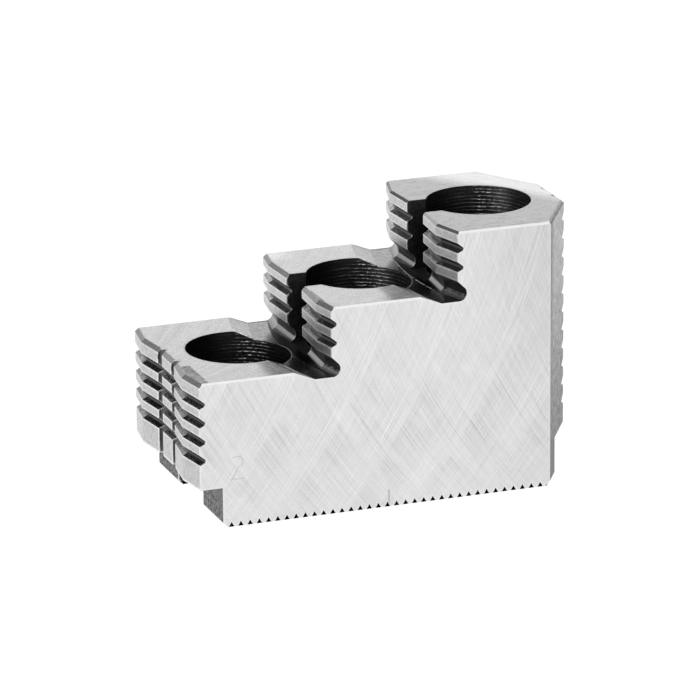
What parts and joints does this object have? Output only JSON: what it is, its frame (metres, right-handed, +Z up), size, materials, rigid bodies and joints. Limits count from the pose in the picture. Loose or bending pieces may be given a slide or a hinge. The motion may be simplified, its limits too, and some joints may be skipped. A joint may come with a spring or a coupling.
{
  "type": "stepped hard top jaw for a lathe chuck",
  "caption": "Three-step hard top jaw for a lathe chuck: notched gripping faces, a gripping nose, deep bolt bores and a finely serrated base with a tenon groove.",
  "frame": {"origin": "where the middle bolt's axis meets the plane of the serration crests under the jaw", "axes": "+X along the jaw from the low first step to the tall third one, +Y across it, +Z up and away from the jaw carrier"},
  "size_m": [0.0651, 0.0312, 0.0429],
  "materials": {
    "jaw": "hardened steel, ground bright outside, black scale left in the bores, slots, undercuts and steep groove flanks"
  },
  "bodies": {
    "root": {"jaw": "jaw"}
  },
  "joints": []
}
